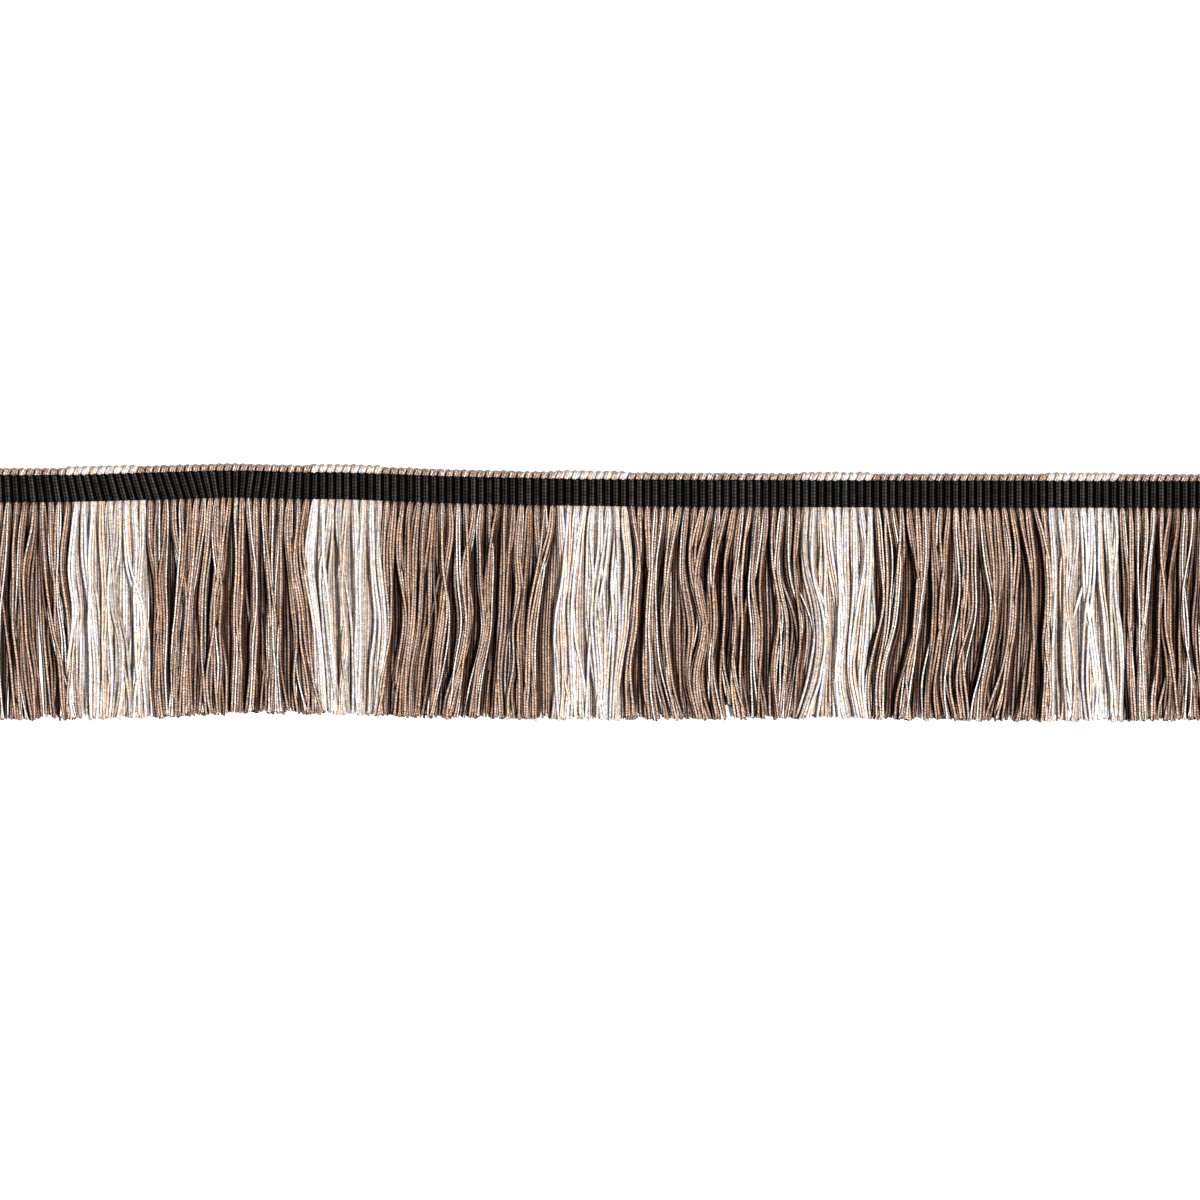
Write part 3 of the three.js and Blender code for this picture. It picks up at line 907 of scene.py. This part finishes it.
def straighten(line):
    """Lets each yarn's stiffness even out its bends."""
    line[1:-1] += STIFFNESS * (line[:-2] + line[2:] - 2 * line[1:-1])


def squeezed(shares):
    """How far the heading squeezes the yarn at each share of its length, from ROOT_SQUEEZE to 1."""
    return ROOT_SQUEEZE + (1 - ROOT_SQUEEZE) * ease(shares, 0.0, ROOT_OPEN)


def settle(target, z, radius):
    """Lets the yarns fall, push each other aside and bend smoothly. Rows are cross-sections, and
    radius has one value for each."""
    x = target.copy()
    root_x, root_z = x[:HELD_STATIONS].copy(), z[:HELD_STATIONS].copy()
    for _ in range(SETTLE_ROUNDS):
        x += TARGET_PULL * (target - x)
        z -= SINK
        straighten(x)
        straighten(z)
        push_apart(x, z, YARN_SPACING * radius)
        np.clip(z, radius, HIGHEST, out=z)
        x[:HELD_STATIONS], z[:HELD_STATIONS] = root_x, root_z
    straighten(x)
    straighten(z)
    return x, z


def pile_depth(x, z):
    """How deep each yarn lies below the top of the pile around it, from 0 to 1."""
    order = np.argsort(x, axis=1)
    sorted_x = np.take_along_axis(x, order, 1)
    sorted_z = np.take_along_axis(z, order, 1)
    top = sorted_z.copy()
    for k in range(1, NEIGHBOURS + 1):
        left, right = sorted_z[:, :-k], sorted_z[:, k:]
        near = np.exp(-((sorted_x[:, k:] - sorted_x[:, :-k]) / DEEP_REACH) ** 2)
        top[:, k:] = np.maximum(top[:, k:], left * near + right * (1 - near))
        top[:, :-k] = np.maximum(top[:, :-k], right * near + left * (1 - near))
    painted_shade = np.empty_like(x)
    np.put_along_axis(painted_shade, order, np.clip((top - sorted_z) / DEEP, 0, 1), 1)
    return painted_shade


def yarn_shadow(x, z, bundle, shares, down):
    """How much painted shade each yarn gets at each cross-section. Rows are yarns."""
    at_root = (bundle[:, LAYER, None] > 0) * (1 - ease(shares, 0.0, ROOT_END))
    reached = TIP_LIGHT * ease(shares, TIP_START, 1.0) + ROOT_LIGHT * at_root
    # Painted shadow of the heading on the yarns that leave it, darkest on a lock's outer yarns,
    # so its top looks round.
    painted_root_shadow = ROOT_SHADOW + ROOT_CORNER * np.abs(bundle[:, ROOT_PLACE, None])
    below_edge = ease(down.T, 0, ROOT_SHADOW_LENGTH)
    return pile_depth(x, z).T * (1 - reached) + painted_root_shadow * (1 - below_edge)


def yarn_stations(length):
    """How far down from the heading's edge each cross-section lies, for each yarn."""
    near = -ROOT_DEPTH + ROOT_STEP_LENGTH * np.arange(ROOT_STEPS)
    rest = np.linspace(0, 1, YARN_STATIONS - ROOT_STEPS + 1)[1:]
    down = near[-1] + rest[:, None] * (length - SPLIT_LENGTH - near[-1])
    return np.concatenate([np.broadcast_to(near[:, None], (ROOT_STEPS, len(length))), down])


def lay_cut_weft(sizes):
    """Lays all cut yarns. Gives their paths, ribs, wefts, layers, shadow and thickness."""
    rng = np.random.default_rng(sizes.seed + YARN_SEED)
    ends = len(BUNDLE)
    rib = np.repeat(np.arange(RIB_COUNT), ends)
    bundle = np.tile(BUNDLE, (RIB_COUNT, 1))
    layer = bundle[:, LAYER].astype(int)
    weft = np.concatenate([rng.permutation(ends) * WEFTS_PER_RIB // ends for _ in range(RIB_COUNT)])
    middle = rib_line(rib + 0.5)
    _, edge_y = heading_point(middle, 1.0)
    spread = rng.normal(0, LENGTH_SPREAD, len(rib)).clip(-2 * LENGTH_SPREAD, 2 * LENGTH_SPREAD)
    length = lie_at(middle, LENGTH) + spread
    down = yarn_stations(length)
    shares = np.clip(down / length, 0, 1).mean(1)

    target = yarn_targets(lock_flow(rib, bundle, shares, rng), lock_lines(shares), layer)
    lift = 1 + ROOT_LIFT * ease(shares, 0.0, ROOT_OPEN)
    z = bundle[:, ROOT_HEIGHT] * MM * lift[:, None]
    x, z = settle(target, z, (sizes.yarn / 2 * squeezed(shares))[:, None])
    shadow = yarn_shadow(x, z, bundle, shares, down)
    notched = NOTCH_DEPTH * (np.abs(x[-1] - NOTCH_X) < NOTCH_HALF)
    paths = np.stack([x, edge_y - down * (1 - notched / length), z], -1).transpose(1, 0, 2)
    thickness = LAYER_THICKNESS[layer][:, None] * np.where((layer > 0)[:, None], squeezed(shares), 1)
    return paths, rib, weft, layer, shadow, thickness


def yarn_radii(paths, radius, thickness, rng):
    """The yarns' radii, a little uneven. Lifts the paths where a yarn would reach below the floor."""
    swell = rng.normal(0, YARN_UNEVEN, paths.shape[:2])
    swell[:, 1:-1] = (swell[:, :-2] + swell[:, 1:-1] + swell[:, 2:]) / 2
    radii = radius * (1 + swell) * thickness
    paths[..., 2] = np.maximum(paths[..., 2], radii)
    return radii


def split_tips(paths, radius, rng):
    """The two plies of each yarn, opening a little past its cut end."""
    end, before = paths[:, -1], paths[:, -2]
    ahead = (end - before) / np.linalg.norm(end - before, axis=1, keepdims=True)
    turn = rng.uniform(0, math.pi, len(paths))
    side = np.stack([np.cos(turn), np.zeros(len(turn)), TIP_FLATNESS * np.sin(turn)], 1)
    near, at_end, middle = TIP_OFFSETS
    tips = []
    for sign in (-1, 1):
        reach = SPLIT_LENGTH * rng.uniform(*SPLIT_UNEVEN, len(paths))[:, None]
        open_to = radius * rng.uniform(*TIP_OPEN, len(paths))[:, None]
        apart = sign * side
        tip = np.stack([end - ahead * TIP_BEFORE + apart * radius * near,
                        end + apart * radius * at_end,
                        end + ahead * reach * TIP_AHEAD + apart * radius * middle,
                        end + ahead * reach + apart * open_to], 1)
        tip[..., 2] = np.maximum(tip[..., 2], TIP_RADII * radius)
        tips.append(tip)
    return tips


class TRIM_OT_cut_weft(bpy.types.Operator):
    """Lay the cut yarn below the heading, a piece for each colour block"""
    bl_idname = "trim.cut_weft"
    bl_label = "Cut weft"

    def execute(self, context):
        sizes = context.scene.trim_sizes
        accent, tone = weft_accents(sizes)
        paths, rib, weft, layer, shadow, thickness = lay_cut_weft(sizes)
        rng = np.random.default_rng(sizes.seed + CUT_END_SEED)
        radius = sizes.yarn / 2
        accent_slim = 1 - (1 - ACCENT_THICKNESS) * accent[rib, weft]
        radii = yarn_radii(paths, radius, thickness * accent_slim[:, None], rng)
        offsets = rng.uniform(0, sizes.ply_mark, len(rib))
        own_tone = np.clip(tone[rib, weft] + rng.normal(0, OWN_TONE_SPREAD, len(rib)), -1, 1)
        own_accent = accent[rib, weft] * (layer > 0)
        shadow = shadow * (1 - ACCENT_ON_TOP * own_accent)[:, None]
        tips = split_tips(paths, radius, rng)
        for colour, number, first, ribs in colour_blocks():
            tubes = TubeMesh()
            for level, (sides, step, plies) in enumerate(zip(LAYER_SIDES, LAYER_STEP, LAYER_PLIES)):
                chosen = (rib >= first) & (rib < first + ribs) & (layer == level)
                looks = own_tone[chosen], own_accent[chosen], offsets[chosen]
                tubes.add(paths[chosen, ::step], radii[chosen, ::step], sides, *looks,
                          shadow[chosen, ::step])
                end_shadow = np.repeat(shadow[chosen, -1:], len(TIP_RADII), axis=1)
                end_radii = np.broadcast_to(TIP_RADII * radius, end_shadow.shape)
                for tip in tips[:plies]:
                    tubes.add(tip[chosen], end_radii, TIP_SIDES, *looks, end_shadow)
            tubes.make(f"fringe_{colour}_{number}", weft_material(context, colour))
        return {"FINISHED"}


def add_floor(colour):
    """Lays matte paper under the trim: pale, without a sheen."""
    bpy.ops.object.select_all(action="DESELECT")
    bpy.ops.mesh.primitive_plane_add(size=FLOOR_SIZE, location=(0, 0, -FLOOR_GAP))
    floor = bpy.context.object
    floor.name = "floor"
    paper = new_material("matte_paper")
    sheet = add_node(paper, "BsdfPrincipled", {"Base Color": (*colour, 1), "Roughness": 0.9})
    add_node(paper, "OutputMaterial", {"Surface": sheet.outputs[0]})
    floor.data.materials.append(paper)


def add_light(scene):
    """Adds the suns and a little even light from all around."""
    for name, (strength, angle, turn, lift) in SUNS.items():
        light = bpy.data.lights.new(name, "SUN")
        light.energy = strength
        light.angle = math.radians(angle)
        sun = bpy.data.objects.new(name, light)
        sun.rotation_euler = (0, math.radians(90 - lift), math.radians(turn))
        scene.collection.objects.link(sun)
    world = bpy.data.worlds.new("studio")
    world.use_nodes = True
    background = world.node_tree.nodes["Background"]
    background.inputs[0].default_value = (1, 1, 1, 1)
    background.inputs[1].default_value = STUDIO_LIGHT
    scene.world = world
    scene.view_settings.view_transform = "Standard"


def add_camera(scene):
    """Hangs the camera above, where it sees the photo's frame."""
    lens = bpy.data.cameras.new("camera")
    lens.sensor_width = SENSOR_WIDTH
    lens.lens = SENSOR_WIDTH * CAMERA_HEIGHT / (PHOTO_WIDTH * PIXEL)
    lens.clip_end = CAMERA_REACH
    camera = bpy.data.objects.new("camera", lens)
    middle_y = HEADING_HIGH.y - (PHOTO_WIDTH / 2 - HEADING_TOP_ROW) * PIXEL
    camera.location = (0, middle_y, CAMERA_HEIGHT)
    scene.collection.objects.link(camera)
    scene.camera = camera


class TRIM_OT_stage(bpy.types.Operator):
    """Set up the pale floor, the studio light and the camera above"""
    bl_idname = "trim.stage"
    bl_label = "Stage"

    def execute(self, context):
        add_floor(context.scene.trim_colours.floor)
        add_light(context.scene)
        add_camera(context.scene)
        return {"FINISHED"}


class TRIM_PT_panel(bpy.types.Panel):
    """Lists the trim's sizes, colours and steps in the sidebar"""
    bl_label = "Brush fringe trim"
    bl_idname = "TRIM_PT_panel"
    bl_space_type = "VIEW_3D"
    bl_region_type = "UI"
    bl_category = "Trim"

    def draw(self, context):
        column = self.layout.column()
        for group in (context.scene.trim_sizes, context.scene.trim_colours):
            for name in group.bl_rna.properties.keys():
                if name not in ("rna_type", "name"):
                    column.prop(group, name)
        for operator in STEPS:
            column.operator(operator.bl_idname)


STEPS = (TRIM_OT_heading, TRIM_OT_loops, TRIM_OT_cut_weft, TRIM_OT_stage)
CLASSES = (TrimSizes, TrimColours, *STEPS, TRIM_PT_panel)


def register():
    """Adds the add-on's classes, and its sizes and colours to the scene."""
    for item in CLASSES:
        bpy.utils.register_class(item)
    bpy.types.Scene.trim_sizes = bpy.props.PointerProperty(type=TrimSizes)
    bpy.types.Scene.trim_colours = bpy.props.PointerProperty(type=TrimColours)


def unregister():
    """Takes away what register adds."""
    del bpy.types.Scene.trim_colours
    del bpy.types.Scene.trim_sizes
    for item in reversed(CLASSES):
        bpy.utils.unregister_class(item)


def write_sizes():
    """Updates the view layer, so that every object's placement is current."""
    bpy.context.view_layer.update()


def main():
    """Makes the trim and its stage."""
    register()
    bpy.ops.trim.heading()
    bpy.ops.trim.loops()
    bpy.ops.trim.cut_weft()
    bpy.ops.trim.stage()
    write_sizes()


if __name__ == "__main__":
    main()
